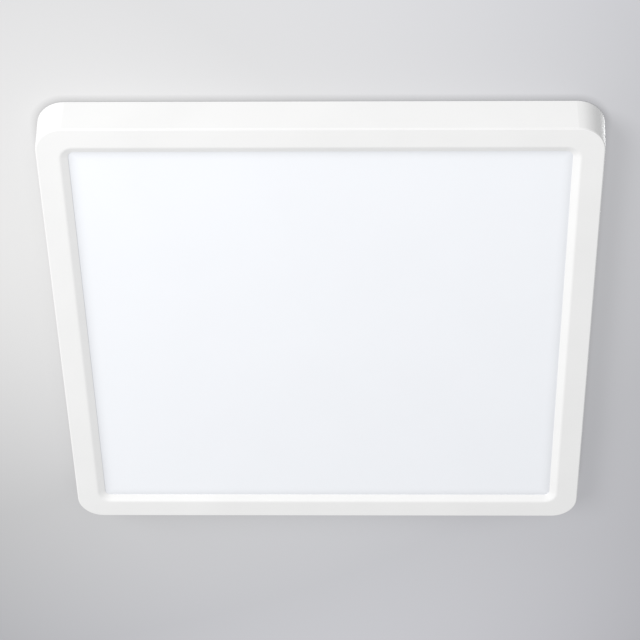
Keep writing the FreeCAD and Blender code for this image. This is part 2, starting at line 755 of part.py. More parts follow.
def make_tray():
    """The pressed steel tray, with its turned-up rim, beads and holes."""
    body = add_body("back_tray")
    outline = add_sketch(body, "tray_outline", offset="places.tray_face")
    draw_rounded(outline, "places.tray_half * 2", "places.tray_half * 2", "places.tray_corner")
    block = pad(body, outline, "sizes.tray_thickness + sizes.tray_rim_height")
    rounded = fillet(body, block, "sizes.tray_bend_radius", lambda edge: lies_at(edge, place("tray_face")))

    inside = add_sketch(body, "tray_inside", offset="places.tray_back")
    inner = "(places.tray_half - sizes.tray_thickness) * 2"
    draw_rounded(inside, inner, inner, "places.tray_corner - sizes.tray_thickness")
    hollow = pocket(body, inside, "sizes.tray_rim_height + sizes.cut_margin", Reversed=True)
    fillet(body, hollow, "sizes.tray_bend_radius - sizes.tray_thickness",
           lambda edge: lies_at(edge, place("tray_back")))

    beads = add_sketch(body, "bead_tops", offset="places.tray_back")
    grooves = add_sketch(body, "bead_grooves", offset="places.tray_face")
    for sign in (-1, 1):
        along = f"{sign} * sizes.bead_offset"
        draw_slot(beads, "0", along, "sizes.bead_length", "sizes.bead_width / 2")
        draw_slot(grooves, "0", along, "sizes.bead_length - sizes.tray_thickness * 2",
                  "sizes.bead_width / 2 - sizes.tray_thickness")
    pad(body, beads, "sizes.bead_height")
    pocket(body, grooves, "sizes.bead_height", Reversed=True)

    edge_holes = add_sketch(body, "tray_screw_holes", offset="places.tray_back")
    for step in steps(3):
        draw_circle(edge_holes, "places.boss_line", f"{step:g} * sizes.tray_screw_pitch",
                    "places.screw_hole_radius")
    polar(body, pocket(body, edge_holes, "sizes.tray_thickness"), 4)

    holes = add_sketch(body, "tray_holes", offset="places.tray_back")
    for sign in (-1, 1):
        for step in steps(3):
            draw_circle(holes, f"{sign} * places.rail_screw_line", f"{step:g} * sizes.rail_screw_pitch",
                        "places.screw_hole_radius")
        draw_circle(holes, f"{sign} * places.lead_hole_line", "places.lead_hole_place",
                    "sizes.lead_hole_radius")
        draw_circle(holes, f"{sign} * places.driver_ear", "places.driver_line", "places.screw_hole_radius")
        draw_circle(holes, "-places.clamp_line", f"{sign} * sizes.clamp_screw_pitch / 2",
                    "places.screw_hole_radius")
        draw_circle(holes, "-sizes.terminal_offset", f"{sign} * places.terminal_screw_line",
                    "places.screw_hole_radius")
        for side in (-1, 1):
            for step in steps(2):
                draw_circle(holes, f"{side} * sizes.clip_offset + {step} * sizes.rivet_pitch",
                            f"{sign} * places.rivet_line", "sizes.rivet_radius")
    draw_circle(holes, "-places.earth_line", "-places.earth_screw_line", "places.screw_hole_radius")
    pocket(body, holes, "sizes.tray_thickness")


def make_tray_screws():
    screws = []
    for index, step in enumerate(steps(3)):
        along = f"{step:g} * sizes.tray_screw_pitch"
        for sign in (-1, 1):
            name = f"tray_screw_{index}_{'low' if sign < 0 else 'high'}"
            screws.append(screw(name + "_x", f"{sign} * places.boss_line", along, "places.tray_back"))
            screws.append(screw(name + "_y", along, f"{sign} * places.boss_line", "places.tray_back"))
    keep("tray_screws", group("tray_screw_set", screws))


def make_rail_screws():
    screws = []
    for sign in (-1, 1):
        for index, step in enumerate(steps(3)):
            screws.append(screw(f"rail_screw_{index}_{'left' if sign < 0 else 'right'}",
                                f"{sign} * places.rail_screw_line", f"{step:g} * sizes.rail_screw_pitch",
                                "places.tray_back", "sizes.tray_thickness + sizes.rail_thickness"))
    keep("rail_screws", group("rail_screw_set", screws))


# Bracket

def make_bracket():
    """The pressed bracket: plate, turned-down sides, outward lips, beads, slots and a dished cable hole."""
    body = add_body("mounting_bracket")
    section = add_sketch(body, "bracket_section", plane="YZ_Plane")
    inner = "places.flange_half - sizes.bracket_thickness"
    half = [("places.flange_half", "0"), ("places.flange_half", "places.lip_top"),
            ("places.lip_half", "places.lip_top"), ("places.lip_half", "-places.bracket_height"),
            (inner, "-places.bracket_height"), (inner, "-sizes.bracket_thickness")]
    mirrored = [(f"-({y})", z) for y, z in reversed(half)]
    draw_outline(section, half + mirrored)
    plate = pad(body, section, "sizes.bracket_length", Midplane=True)

    flange, thickness = place("flange_half"), size("bracket_thickness")
    outer = fillet(body, plate, "sizes.bracket_bend_radius", lambda edge: runs_along_x(edge, flange, 0)
                   or runs_along_x(edge, flange - thickness, -place("bracket_height")))
    bent = fillet(body, outer, "sizes.bracket_bend_radius - sizes.bracket_thickness",
                  lambda edge: runs_along_x(edge, flange - thickness, -thickness)
                  or runs_along_x(edge, flange, place("lip_top")))
    lip = place("lip_half") - 1e-3
    fillet(body, bent, "sizes.lip_corner_radius",
           lambda edge: edge.BoundBox.YLength + edge.BoundBox.XLength < 1e-6 and abs(edge.BoundBox.YMin) > lip)

    beads = add_sketch(body, "bracket_bead_backs", offset="-sizes.bracket_thickness")
    grooves = add_sketch(body, "bracket_bead_grooves")
    for row in (-1, 1):
        along = f"{row} * sizes.bracket_bead_offset"
        draw_slot(beads, "0", along, "sizes.bracket_bead_length", "sizes.bracket_bead_width / 2")
        draw_slot(grooves, "0", along, "sizes.bracket_bead_length - sizes.bracket_thickness * 2",
                  "sizes.bracket_bead_width / 2 - sizes.bracket_thickness")
    pad(body, beads, "sizes.bracket_bead_depth", Reversed=True)
    pocket(body, grooves, "sizes.bracket_bead_depth")

    boss = add_sketch(body, "dish_outside", offset="-sizes.bracket_thickness / 2")
    draw_circle(boss, "0", "0", "sizes.dish_radius + sizes.bracket_thickness")
    pad(body, boss, "sizes.dish_depth + sizes.bracket_thickness / 2", Reversed=True)
    dish = add_sketch(body, "dish_inside")
    draw_circle(dish, "0", "0", "sizes.dish_radius")
    pocket(body, dish, "sizes.dish_depth")
    openings = add_sketch(body, "bracket_openings")
    draw_circle(openings, "0", "0", "sizes.cable_hole_radius")
    for side in (-1, 1):
        for row in (-1, 1):
            draw_slot(openings, f"{side} * sizes.slot_spacing / 2", f"{row} * sizes.slot_row_spacing / 2",
                      "sizes.slot_length", "sizes.slot_radius")
    pocket(body, openings, "sizes.dish_depth + sizes.bracket_thickness + sizes.cut_margin")


def make_cable_grommet():
    """The rubber bush in the bracket's cable hole: a turned section with a groove for the plate."""
    body = add_body("cable_grommet")
    section = add_sketch(body, "grommet_section", plane="XZ_Plane")
    bore, waist = "sizes.grommet_bore_radius", "sizes.cable_hole_radius"
    rim = "sizes.cable_hole_radius + sizes.grommet_flange"
    upper, lower = "-sizes.dish_depth", "-(sizes.dish_depth + sizes.bracket_thickness)"
    top, bottom = f"{upper} + sizes.grommet_lip", f"{lower} - sizes.grommet_lip"
    edge = "sizes.grommet_edge"
    draw_outline(section, [(bore, bottom), (f"{rim} - {edge}", bottom), (rim, f"{bottom} + {edge}"), (rim, lower),
                           (waist, lower), (waist, upper), (rim, upper), (rim, f"{top} - {edge}"),
                           (f"{rim} - {edge}", top), (bore, top)])
    turned = body.newObject("PartDesign::Revolution", "grommet_turned")
    turned.Profile = section
    turned.ReferenceAxis = (section, ["V_Axis"])
    turned.Angle = 360
    doc.recompute()


# Spring clips

def make_clip(name, x, turn):
    """One leaf of spring steel, whose nose snaps in over the bracket's lip."""
    body = add_body(name)
    section = add_sketch(body, name + "_section", plane="YZ_Plane")
    leg, tip = "places.clip_leg", "places.clip_leg - sizes.clip_reach"
    tail = f"{tip} + sizes.clip_tail"
    back = "sizes.clip_thickness"
    draw_outline(section, [
        (leg, "places.clip_foot"), (f"{leg} + {back}", "places.clip_foot"),
        (f"{leg} + {back}", "places.clip_bend + places.clip_miter"),
        (f"{tip} + places.clip_slant", "places.clip_nose"),
        (f"{tail} + places.clip_slant", "places.clip_top"),
        (tail, "places.clip_top"), (tip, "places.clip_nose"), (leg, "places.clip_bend")])
    leaf = pad(body, section, "sizes.clip_width", Midplane=True)
    hollow = ((leg, "places.clip_bend"), (f"{tip} + places.clip_slant", "places.clip_nose"))
    crest = ((f"{leg} + {back}", "places.clip_bend + places.clip_miter"), (tip, "places.clip_nose"))
    bent = fillet(body, leaf, "sizes.clip_bend_radius",
                  lambda edge: any(runs_along_x(edge, value(y), value(z)) for y, z in hollow))
    fillet(body, bent, "sizes.clip_bend_radius + sizes.clip_thickness",
           lambda edge: any(runs_along_x(edge, value(y), value(z)) for y, z in crest))
    corners = add_sketch(body, name + "_corners", plane="XZ_Plane")
    inset, margin = "(sizes.clip_width / 2 - sizes.clip_corner)", "sizes.cut_margin"
    edge, above = f"(sizes.clip_width / 2 + {margin})", f"places.clip_top + {margin}"
    for sign in (-1, 1):
        draw_outline(corners, [(f"{sign} * ({inset} - {margin})", above), (f"{sign} * {edge}", above),
                               (f"{sign} * {edge}", f"places.clip_top - sizes.clip_corner - {margin}")])
    pocket(body, corners, "places.foot_end")
    put(body, x, "0", "0", turn)


def make_clips():
    """The four leaves, their feet on the tray and the rivets."""
    feet, rivets = [], []
    for row, turn, sign in (("back", None, 1), ("front", 180, -1)):
        for side, along in (("left", -1), ("right", 1)):
            x = f"{along} * sizes.clip_offset"
            make_clip(f"spring_clip_{row}_{side}", x, turn)
            middle = f"{sign} * places.rivet_line"
            foot = box(f"foot_{row}_{side}", x, middle, "places.tray_back", "sizes.clip_width",
                       "sizes.clip_foot_length + sizes.clip_thickness * 2", "sizes.clip_thickness")
            bores = []
            for index, step in enumerate(steps(2)):
                rivet_x = f"{x} + {step} * sizes.rivet_pitch"
                tag = f"{row}_{side}_{index}"
                bores.append(cylinder(f"rivet_bore_{tag}", rivet_x, middle, "places.tray_back",
                                      "sizes.rivet_radius", "sizes.clip_thickness"))
                head = crowned(f"rivet_head_{tag}", rivet_x, middle,
                               "places.tray_back + sizes.clip_thickness", "sizes.rivet_head_radius",
                               "sizes.rivet_head_height")
                shank = cylinder(f"rivet_shank_{tag}", rivet_x, middle, "places.tray_face",
                                 "sizes.rivet_radius", "sizes.tray_thickness + sizes.clip_thickness")
                rivets.append(fuse(f"rivet_{tag}", [*head, shank]))
            feet.append(cut(f"foot_plate_{row}_{side}", foot, bores))
    keep("clip_feet", group("foot_set", feet))
    keep("clip_rivets", group("rivet_set", rivets))


# Driver

def make_driver():
    """The driver's housing with its ears, its lid, and the circuit board with what stands on it."""
    base = add_body("driver_base")
    outline = add_sketch(base, "driver_outline", offset="places.tray_back")
    draw_rounded(outline, "sizes.driver_length", "sizes.driver_width", "sizes.driver_corner_radius")
    pad(base, outline, "places.cover_face - places.tray_back")
    ears = add_sketch(base, "driver_ears", offset="places.tray_back")
    draw_rounded(ears, "sizes.driver_length + sizes.driver_ear_length * 2", "sizes.driver_ear_width",
                 "sizes.driver_ear_radius")
    pad(base, ears, "sizes.driver_ear_thickness")
    inside = add_sketch(base, "driver_inside", offset="places.driver_floor")
    draw_rounded(inside, "sizes.driver_length - sizes.driver_wall * 2",
                 "sizes.driver_width - sizes.driver_wall * 2",
                 "sizes.driver_corner_radius - sizes.driver_wall")
    pocket(base, inside, "places.cover_face - places.driver_floor + sizes.cut_margin", Reversed=True)
    ear_holes = add_sketch(base, "driver_ear_holes", offset="places.tray_back + sizes.driver_ear_thickness")
    for sign in (-1, 1):
        draw_circle(ear_holes, f"{sign} * places.driver_ear", "0", "places.screw_hole_radius")
    pocket(base, ear_holes, "sizes.driver_ear_thickness")
    for sign, name, radius in (
            (-1, "input_holes", "sizes.mains_lead_radius + sizes.lead_clearance"),
            (1, "output_holes", "sizes.led_lead_spacing / 2 + sizes.led_lead_radius + sizes.lead_clearance")):
        holes = add_sketch(base, name, plane="YZ_Plane", offset=f"{sign} * sizes.driver_length / 2")
        for row in (-1, 1):
            draw_circle(holes, f"{row} * sizes.pole_pitch / 2", "places.driver_lead_line", radius)
        pocket(base, holes, "sizes.driver_wall", Reversed=sign < 0)
    posts = add_sketch(base, "board_posts", offset="places.driver_floor")
    for side in (-1, 1):
        for row in (-1, 1):
            draw_circle(posts, f"{side} * (sizes.driver_length / 2 - sizes.post_end_inset)",
                        f"{row} * (sizes.driver_width / 2 - sizes.post_side_inset)", "sizes.post_radius")
    pad(base, posts, "sizes.circuit_standoff")
    put(base, "0", "places.driver_line", "0")

    cover = add_body("driver_cover")
    lid = add_sketch(cover, "cover_outline", offset="places.cover_face")
    draw_rounded(lid, "sizes.driver_length", "sizes.driver_width", "sizes.driver_corner_radius")
    lid_top = place("cover_face") + size("driver_cover_thickness")
    fillet(cover, pad(cover, lid, "sizes.driver_cover_thickness"), "sizes.driver_cover_edge",
           lambda edge: lies_at(edge, lid_top))
    plug = add_sketch(cover, "cover_plug", offset="places.cover_face")
    plug_length = "sizes.driver_length - (sizes.driver_wall + sizes.cover_fit) * 2"
    plug_width = "sizes.driver_width - (sizes.driver_wall + sizes.cover_fit) * 2"
    draw_rounded(plug, plug_length, plug_width, "sizes.driver_corner_radius - sizes.driver_wall - sizes.cover_fit")
    draw_rectangle(plug, "0", "0", f"{plug_length} - sizes.cover_lip * 2", f"{plug_width} - sizes.cover_lip * 2")
    pad(cover, plug, "sizes.cover_lip", Reversed=True)
    put(cover, "0", "places.driver_line", "0")

    inset = "(sizes.driver_wall + sizes.circuit_clearance) * 2"
    keep("driver_board", box("driver_circuit", "0", "places.driver_line", "places.circuit_face",
                             f"sizes.driver_length - {inset}", f"sizes.driver_width - {inset}",
                             "sizes.circuit_thickness"))
    make_transformer()
    make_choke()
    cans = []
    for index, (x, row) in enumerate((("-sizes.input_capacitor_offset", -1), ("sizes.output_capacitor_offset", 1),
                                      ("sizes.output_capacitor_offset", -1))):
        cans.append(lying_cylinder(f"can_{index}", x, f"places.driver_line + {row} * sizes.capacitor_row",
                                   "places.circuit_top + sizes.capacitor_radius", "sizes.capacitor_radius",
                                   "sizes.capacitor_length", "x"))
    keep("driver_capacitors", group("capacitor_set", cans))
    blocks = [box(f"connector_{side}", f"{sign} * (places.connector_place + sizes.connector_depth / 2)",
                  "places.driver_line", "places.circuit_top", "sizes.connector_depth",
                  "sizes.pole_pitch * 2", "sizes.connector_height")
              for side, sign in (("input", -1), ("output", 1))]
    keep("driver_connectors", group("connector_set", blocks))
    ear_top = "places.tray_back + sizes.driver_ear_thickness"
    keep("driver_screws", group("driver_screw_set", [
        screw(f"driver_screw_{index}", f"{sign} * places.driver_ear", "places.driver_line", ear_top,
              "sizes.driver_ear_thickness + sizes.tray_thickness") for index, sign in enumerate((-1, 1))]))


def make_transformer():
    """A flat transformer: a coil round the middle leg of a ferrite core."""
    y, foot = "places.driver_line", "places.circuit_top"
    core = box("core_block", "0", y, foot, "sizes.core_length",
               "sizes.core_leg + (sizes.core_window + sizes.core_side) * 2", "places.core_height")
    windows = [box(f"core_window_{index}", "0", f"{y} + {sign} * (sizes.core_leg + sizes.core_window) / 2",
                   f"{foot} + sizes.core_yoke", "sizes.core_length", "sizes.core_window", "sizes.core_window_height")
               for index, sign in enumerate((-1, 1))]
    keep("driver_transformer", cut("transformer_core", core, windows))

    coil_foot = f"{foot} + sizes.core_yoke + sizes.coil_fit"
    coil_height = "sizes.core_window_height - sizes.coil_fit * 2"
    bore_length = "sizes.core_length + sizes.coil_fit * 2"
    coil = box("coil_block", "0", y, coil_foot, f"{bore_length} + sizes.coil_end * 2",
               "sizes.core_leg + sizes.core_window * 2", coil_height)
    bore = box("coil_bore", "0", y, coil_foot, bore_length, "sizes.core_leg + sizes.coil_fit * 2", coil_height)
    keep("driver_coil", cut("coil", coil, [bore]))


def make_choke():
    """A drum core choke between two flanges."""
    x, y = "-sizes.choke_offset", "places.driver_line + sizes.choke_row"
    flange = "sizes.choke_radius + sizes.choke_flange"
    crown = "places.circuit_top + sizes.choke_height"
    drum = [cylinder("choke_foot", x, y, "places.circuit_top", flange, "sizes.choke_flange_thickness"),
            cylinder("choke_core", x, y, "places.circuit_top", "sizes.choke_radius", "sizes.choke_height"),
            cylinder("choke_crown", x, y, crown, flange, "sizes.choke_flange_thickness")]
    keep("driver_choke", fuse("choke", drum))


# Terminal block

def make_terminal():
    """The three-pole block with wire holes, button wells, grooves, fixing ears and brass contacts."""
    body = add_body("terminal_block")
    outline = add_sketch(body, "terminal_outline", offset="places.tray_back")
    draw_rectangle(outline, "0", "0", "sizes.terminal_length", "places.terminal_width")
    block = pad(body, outline, "sizes.terminal_height")
    fillet(body, block, "sizes.terminal_edge", lambda edge: lies_at(edge, place("terminal_top")))
    ears = add_sketch(body, "terminal_ears", offset="places.tray_back")
    draw_rounded(ears, "sizes.terminal_ear_width", "places.terminal_width + sizes.terminal_ear_length * 2",
                 "sizes.terminal_ear_radius")
    pad(body, ears, "sizes.terminal_ear_height")
    ear_holes = add_sketch(body, "terminal_ear_holes", offset="places.tray_back + sizes.terminal_ear_height")
    for sign in (-1, 1):
        draw_circle(ear_holes, "0", f"{sign} * places.terminal_screw_line", "places.screw_hole_radius")
    pocket(body, ear_holes, "sizes.terminal_ear_height")
    dividers = add_sketch(body, "pole_grooves", offset="places.terminal_top")
    for step in steps(size("pole_count") - 1):
        draw_rectangle(dividers, "0", f"{step:g} * sizes.pole_pitch", "sizes.terminal_length + sizes.cut_margin",
                       "sizes.pole_groove_width")
    pocket(body, dividers, "sizes.pole_groove_depth")
    wells = add_sketch(body, "button_wells", offset="places.terminal_top")
    for step in steps(size("pole_count")):
        draw_rectangle(wells, "0", f"{step:g} * sizes.pole_pitch",
                       "sizes.button_length + sizes.button_clearance * 2",
                       "sizes.button_width + sizes.button_clearance * 2")
    pocket(body, wells, "places.terminal_top - places.well_floor")
    contact = "(sizes.terminal_length - sizes.wire_hole_depth * 2)"
    for sign, name in ((-1, "left_wire_holes"), (1, "right_wire_holes")):
        holes = add_sketch(body, name, plane="YZ_Plane", offset=f"{sign} * sizes.terminal_length / 2")
        for step in steps(size("pole_count")):
            draw_circle(holes, f"{step:g} * sizes.pole_pitch", "places.mains_lead_line", "sizes.wire_hole_radius")
        bored = pocket(body, holes, "sizes.wire_hole_depth", Reversed=sign < 0)
        mouth = sign * size("terminal_length") / 2
        fillet(body, bored, "sizes.wire_hole_mouth", lambda edge: is_mouth(edge, mouth))
    slots = add_sketch(body, "contact_slots", offset="places.tray_back")
    for step in steps(size("pole_count")):
        draw_rectangle(slots, "0", f"{step:g} * sizes.pole_pitch", f"{contact} + sizes.contact_clearance * 2",
                       "sizes.contact_width + sizes.contact_clearance * 2")
    pocket(body, slots, "sizes.contact_lift + sizes.contact_height + sizes.contact_clearance", Reversed=True)
    put(body, "-sizes.terminal_offset", "0", "0")

    contacts = [box(f"contact_{index}", "-sizes.terminal_offset", f"{step:g} * sizes.pole_pitch",
                    "places.tray_back + sizes.contact_lift", contact, "sizes.contact_width",
                    "sizes.contact_height")
                for index, step in enumerate(steps(size("pole_count")))]
    keep("terminal_contacts", group("contact_set", contacts))
    keep("terminal_screws", group("terminal_screw_set", [
        screw(f"terminal_screw_{index}", "-sizes.terminal_offset", f"{sign} * places.terminal_screw_line",
              "places.tray_back + sizes.terminal_ear_height", "sizes.terminal_ear_height + sizes.tray_thickness")
        for index, sign in enumerate((-1, 1))]))
    for name, step in zip(("earth", "neutral", "live"), steps(size("pole_count"))):
        make_button(f"release_button_{name}", f"{step:g} * sizes.pole_pitch")


def make_button(name, y):
    """A push button that stands proud of the block, its stem in the well."""
    body = add_body(name)
    outline = add_sketch(body, name + "_outline", offset="places.terminal_top - sizes.button_stem")
    draw_rectangle(outline, "0", "0", "sizes.button_length", "sizes.button_width")
    stem = pad(body, outline, "sizes.button_stem + sizes.button_height")
    top = place("terminal_top") + size("button_height")
    fillet(body, stem, "sizes.button_edge", lambda edge: lies_at(edge, top))
    put(body, "-sizes.terminal_offset", y, "0")


def make_cable_clamp():
    """The bridge that holds the mains cable, and its two screws."""
    body = add_body("cable_clamp")
    section = add_sketch(body, "clamp_section", plane="YZ_Plane")
    half, gap = "sizes.clamp_length / 2", "sizes.cable_gap_width / 2"
    foot = "places.tray_back"
    shoulder = "places.tray_back + sizes.cable_gap_height"
    crown = f"{shoulder} + sizes.clamp_bridge"
    corner, crown_half = "sizes.cable_gap_corner", f"({gap} + sizes.clamp_crown)"
    end = f"{foot} + sizes.clamp_end_height"
    draw_outline(section, [(f"-{half}", foot), (f"-{gap}", foot), (f"-{gap}", f"{shoulder} - {corner}"),
                           (f"-{gap} + {corner}", shoulder), (f"{gap} - {corner}", shoulder),
                           (gap, f"{shoulder} - {corner}"), (gap, foot), (half, foot), (half, end),
                           (crown_half, crown), (f"-{crown_half}", crown), (f"-{half}", end)])
    pad(body, section, "sizes.clamp_width", Midplane=True)
    seat = "places.tray_back + sizes.clamp_seat"
    seats = add_sketch(body, "clamp_seats", offset=seat)
    holes = add_sketch(body, "clamp_holes", offset=seat)
    for sign in (-1, 1):
        draw_circle(seats, "0", f"{sign} * sizes.clamp_screw_pitch / 2", "sizes.head_radius + sizes.head_clearance")
        draw_circle(holes, "0", f"{sign} * sizes.clamp_screw_pitch / 2", "places.screw_hole_radius")
    pocket(body, seats, "sizes.cable_gap_height + sizes.clamp_bridge", Reversed=True)
    pocket(body, holes, "sizes.clamp_seat")
    put(body, "-places.clamp_line", "0", "0")
    keep("clamp_screws", group("clamp_screw_set", [
        screw(f"clamp_screw_{index}", "-places.clamp_line", f"{sign} * sizes.clamp_screw_pitch / 2", seat,
              "sizes.clamp_seat + sizes.tray_thickness") for index, sign in enumerate((-1, 1))]))


# Leads

def tube(points, radius, bends):
    """A round lead along straight runs joined by tangent arcs, one radius for each corner."""
    route = [FreeCAD.Vector(*point) for point in points]
    edges, start, length = [], route[0], 0
    for before, corner, after, bend in zip(route, route[1:], route[2:], bends):
        arriving, leaving = (corner - before).normalize(), (after - corner).normalize()
        turn = arriving.getAngle(leaving)
        setback = bend * math.tan(turn / 2)
        arc_start, arc_end = corner - arriving * setback, corner + leaving * setback
        towards = (leaving - arriving).normalize()
        middle = corner + towards * (bend / math.cos(turn / 2) - bend)
        edges.append(Part.LineSegment(start, arc_start).toShape())
        edges.append(Part.Arc(arc_start, middle, arc_end).toShape())
        length += start.distanceToPoint(arc_start) + bend * turn
        start = arc_end
    edges.append(Part.LineSegment(start, route[-1]).toShape())
    length += start.distanceToPoint(route[-1])
    spine = Part.Wire(edges)
    direction = (route[1] - route[0]).normalize()
    section = Part.Wire([Part.Circle(route[0], direction, radius).toShape()])
    solid = spine.makePipeShell([section], True, False)
    expected = math.pi * radius ** 2 * length
    if abs(solid.Volume - expected) > 0.01 * expected:
        raise RuntimeError(f"lead volume {solid.Volume:.1f}, expected {expected:.1f}")
    return solid


def lead(name, routes, radius, bends):
    """A sub-part of one tube for each route."""
    feature = doc.addObject("Part::Feature", name)
    solids = [tube(route, radius, bends) for route in routes]
    feature.Shape = solids[0] if len(solids) == 1 else Part.makeCompound(solids)
    feature.Placement = FreeCAD.Placement()
    return keep(name, feature)


def make_mains_leads():
    """Live, neutral and earth, from the terminal block's contacts to the driver and the earth lug."""
    low, high = place("mains_lead_line"), place("driver_lead_line")
    start = -size("terminal_offset") - size("terminal_length") / 2 + size("wire_hole_depth")
    pitch, centre = size("pole_pitch"), place("driver_line")
    entry = -place("connector_place") - size("connector_depth")
    rise = place("lip_half") + size("mains_rise_gap")
    top = rise + size("mains_rise_run")
    bend = size("mains_lead_bend")
    for lane, (name, pole) in enumerate((("live_lead", 1), ("neutral_lead", 0))):
        x = -place("driver_end") - size("mains_lane_gap") - lane * size("mains_lane_pitch")
        y, arrival = pole * pitch, centre + (0.5 - pole) * pitch
        route = [(start, y, low), (x, y, low), (x, rise, low), (x, top, high), (x, arrival, high),
                 (entry, arrival, high)]
        lead(name, [route], size("mains_lead_radius"), [bend] * 4)
    x = -place("earth_line")
    end = size("lug_radius") + size("barrel_gap") + size("barrel_length") - place("earth_screw_line")
    lead("earth_lead", [[(start, -pitch, low), (x, -pitch, low), (x, end, low)]], size("mains_lead_radius"), [bend])


def make_led_leads():
    """Two thin leads to each LED board, past the tray through a bushed hole."""
    radius, bend, drop_bend = size("led_lead_radius"), size("led_lead_bend"), size("led_lead_drop_bend")
    level = place("driver_lead_line")
    on_tray = place("tray_back") + size("lead_grommet_wall") + radius + size("lead_lift")
    hole_x, hole_y = place("lead_hole_line"), place("lead_hole_place")
    exit_x, centre = place("connector_place") + size("connector_depth"), place("driver_line")
    middle = (place("guide_face") + place("reflector_face")) / 2
    for side, sign in (("right", 1), ("left", -1)):
        routes = []
        for wire in (-0.5, 0.5):
            shift = wire * size("led_lead_spacing")
            y = centre - sign * size("pole_pitch") / 2 + shift
            over = hole_y + shift
            depth = middle - size("lead_lift") - wire * size("led_lead_rows")
            lane_end = place("led_lane_end") + sign * shift
            if side == "right":
                foot = lane_end - size("led_drop_gap")
                approach = [(foot - size("led_drop_run"), y, level), (foot, y, on_tray), (lane_end, y, on_tray),
                            (lane_end, over, on_tray)]
            else:
                lane, turn = place("led_lane") - shift, place("led_turn") - shift
                approach = [(turn, y, level), (turn, lane - size("led_lane_drop"), on_tray), (turn, lane, on_tray),
                            (-lane_end, lane, on_tray), (-lane_end, over, on_tray)]
            hole = [(sign * hole_x, over, on_tray), (sign * hole_x, over, depth)]
            routes.append([(exit_x, y, level)] + approach + hole + [(sign * hole_x, place("board_half"), depth)])
        lead(f"led_leads_{side}", routes, radius, [bend] * len(approach) + [drop_bend] * 2)


def make_lead_fittings():
    """Bushes in the tray's lead holes, and the earth lug with its screw."""
    bushes = []
    for side, sign in (("left", -1), ("right", 1)):
        x, y = f"{sign} * places.lead_hole_line", "places.lead_hole_place"
        wall = "sizes.lead_grommet_wall"
        waist = cylinder(f"bush_waist_{side}", x, y, "places.tray_face", "sizes.lead_hole_radius",
                         "sizes.tray_thickness")
        upper = cylinder(f"bush_upper_{side}", x, y, "places.tray_back", f"sizes.lead_hole_radius + {wall}", wall)
        lower = cylinder(f"bush_lower_{side}", x, y, f"places.tray_face - {wall}",
                         f"sizes.lead_hole_radius + {wall}", wall)
        bore = cylinder(f"bush_bore_{side}", x, y, f"places.tray_face - {wall}",
                        f"sizes.lead_hole_radius - {wall}", f"sizes.tray_thickness + {wall} * 2")
        bushes.append(cut(f"bush_{side}", fuse(f"bush_body_{side}", [waist, upper, lower]), [bore]))
    keep("lead_grommets", group("bush_set", bushes))

    x, y = "-places.earth_line", "-places.earth_screw_line"
    barrel_start = f"{y} + sizes.lug_radius + sizes.barrel_gap"
    barrel_middle = f"{barrel_start} + sizes.barrel_length / 2"
    neck_length = "(sizes.lug_neck_root + sizes.barrel_gap + sizes.barrel_length)"
    ring = cylinder("lug_ring", x, y, "places.tray_back", "sizes.lug_radius", "sizes.lug_thickness")
    neck = box("lug_neck", x, f"{y} + sizes.lug_radius - sizes.lug_neck_root + {neck_length} / 2",
               "places.tray_back", "sizes.lug_neck_width", neck_length, "sizes.lug_thickness")
    barrel = lying_cylinder("lug_barrel", x, barrel_start, "places.mains_lead_line",
                            "sizes.mains_lead_radius + sizes.barrel_wall", "sizes.barrel_length", "y")
    seat = box("lug_seat", x, barrel_middle, "places.tray_back", "sizes.barrel_seat", "sizes.barrel_length",
               "sizes.mains_lead_height - sizes.mains_lead_radius")
    eye = cylinder("lug_eye", x, y, "places.tray_back", "places.screw_hole_radius", "sizes.lug_thickness")
    keep("earth_lug", cut("lug", fuse("lug_body", [ring, neck, seat, barrel]), [eye]))
    keep("earth_screw", screw("earth_screw_body", x, y, "places.tray_back + sizes.lug_thickness",
                              "sizes.lug_thickness + sizes.tray_thickness"))


def make_saddle(name, x, y, along):
    """A plastic saddle over a pair of leads that run along x or y."""
    gap = "(sizes.led_lead_spacing + (sizes.led_lead_radius + sizes.saddle_clearance) * 2)"
    headroom = "(sizes.lead_grommet_wall + sizes.lead_lift + sizes.led_lead_radius * 2 + sizes.saddle_clearance)"
    across = f"{gap} + (sizes.saddle_wall + sizes.saddle_foot) * 2"
    width = "sizes.saddle_width"
    spans = ((width, across), (width, gap)) if along == "x" else ((across, width), (gap, width))
    block = box(name + "_block", x, y, "places.tray_back", *spans[0], f"{headroom} + sizes.saddle_wall")
    opening = box(name + "_gap", x, y, "places.tray_back", *spans[1], headroom)
    return cut(name, block, [opening])


def make_saddles():
    """Saddles that hold the LED leads down on the tray."""
    middle = "(places.led_turn - places.led_lane_end) / 2"
    saddles = [make_saddle(f"saddle_{index}", f"{middle} + {step:g} * sizes.saddle_pitch", "places.led_lane", "x")
               for index, step in enumerate(steps(3))]
    saddles.append(make_saddle("saddle_right", "places.led_lane_end", "places.led_lane", "y"))
    keep("lead_clips", group("saddle_set", saddles))


def check_document():
    """Stops unless every object has been worked out and every sub-part is a valid solid."""
    doc.recompute()
    for thing in doc.Objects:
        if "Invalid" in thing.State or "Error" in thing.State:
            raise RuntimeError(f"{thing.Name} failed: {thing.State}")
    for name, thing in parts.items():
        shape = thing.Shape
        if shape.isNull() or not shape.isValid() or not shape.Solids:
            raise RuntimeError(f"{name} has no valid solid")


def write_parts():
    os.makedirs("parts", exist_ok=True)
    for name, thing in parts.items():
        thing.Shape.exportStep(f"parts/{name}.step")
    print(len(parts), "sub-parts,", sum(len(thing.Shape.Solids) for thing in parts.values()), "solids")


